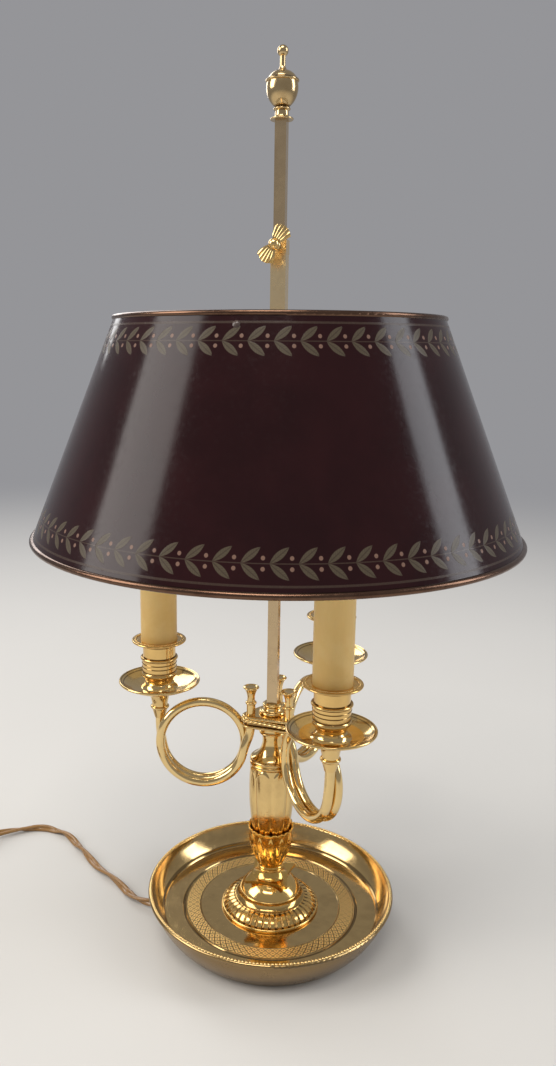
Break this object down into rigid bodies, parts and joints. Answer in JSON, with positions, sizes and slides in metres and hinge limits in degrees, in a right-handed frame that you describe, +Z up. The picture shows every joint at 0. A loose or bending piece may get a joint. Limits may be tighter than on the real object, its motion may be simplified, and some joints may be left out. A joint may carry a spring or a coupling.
{
  "type": "bouillotte table lamp",
  "caption": "Brass table lamp with a dish base, coiled horn candle arms and a conical shade that slides on a square rod.",
  "frame": {"origin": "centre of the base on the surface it stands on", "axes": "+Z up along the rod; -Y towards the front, where the flex leaves at the left"},
  "size_m": [0.5281, 0.3594, 0.6602],
  "materials": {
    "polished_brass": "polished",
    "aged_brass": "satin",
    "holder_plastic": "satin",
    "candle_card": "matte",
    "bulb_glass": "frosted",
    "felt": "felt",
    "iron_weight": "rough",
    "steel_parts": "plain",
    "shade_enamel": "gloss",
    "shade_gilding": "satin",
    "fitting_plastic": "gloss",
    "flex_cover": "satin",
    "plated_pins": "polished"
  },
  "bodies": {
    "stand": {"base_dish": "polished_brass", "gadroon_foot": "polished_brass", "plinth": "polished_brass", "leaf_cup": "polished_brass", "stem_vase": "polished_brass", "stem_neck": "polished_brass", "hub_plate": "polished_brass", "hub_binding": "polished_brass", "rod_pedestal": "polished_brass", "square_rod": "aged_brass", "finial": "polished_brass", "horn_left": "polished_brass", "mouthpiece_left": "polished_brass", "bell_left": "polished_brass", "drip_pan_left": "polished_brass", "candle_cup_left": "polished_brass", "lamp_holder_left": "holder_plastic", "candle_sleeve_left": "candle_card", "bulb_left": "bulb_glass", "horn_front": "polished_brass", "mouthpiece_front": "polished_brass", "bell_front": "polished_brass", "drip_pan_front": "polished_brass", "candle_cup_front": "polished_brass", "lamp_holder_front": "holder_plastic", "candle_sleeve_front": "candle_card", "bulb_front": "bulb_glass", "horn_back": "polished_brass", "mouthpiece_back": "polished_brass", "bell_back": "polished_brass", "drip_pan_back": "polished_brass", "candle_cup_back": "polished_brass", "lamp_holder_back": "holder_plastic", "candle_sleeve_back": "candle_card", "bulb_back": "bulb_glass", "felt_pad": "felt", "base_weight": "iron_weight", "lead_block": "holder_plastic", "tie_rod": "steel_parts", "base_nut": "steel_parts", "cord_grommet": "fitting_plastic", "cord_lead": "flex_cover", "cord_tail": "flex_cover", "cord_coil": "flex_cover", "switch_base": "fitting_plastic", "switch_top": "fitting_plastic", "plug_body": "fitting_plastic", "plug_pins": "plated_pins"},
    "shade": {"shade_shell": "shade_enamel", "shade_bottom_bead": "shade_gilding", "shade_top_bead": "shade_gilding", "shade_spider": "aged_brass", "spider_rivets": "aged_brass", "slide_sleeve": "aged_brass", "sleeve_collar": "polished_brass"},
    "wing_screw": {"thumb_screw": "polished_brass"},
    "rocker": {"switch_rocker": "fitting_plastic"}
  },
  "joints": [
    {"name": "shade_height", "type": "slide", "parent": "stand", "child": "shade", "axis": [0, 0, 1], "range_m": [-0.06, 0.075]},
    {"name": "screw_turn", "type": "hinge", "parent": "shade", "child": "wing_screw", "pos_m": [0, 0, 0.53025], "axis": [-0.2079, -0.9781, 0], "range_deg": [-180, 180]},
    {"name": "rocker_tilt", "type": "hinge", "parent": "stand", "child": "rocker", "pos_m": [-0.2972, 0.0796, 0.0168], "axis": [0.6, -0.8, 0], "range_deg": [-7, 7]}
  ]
}
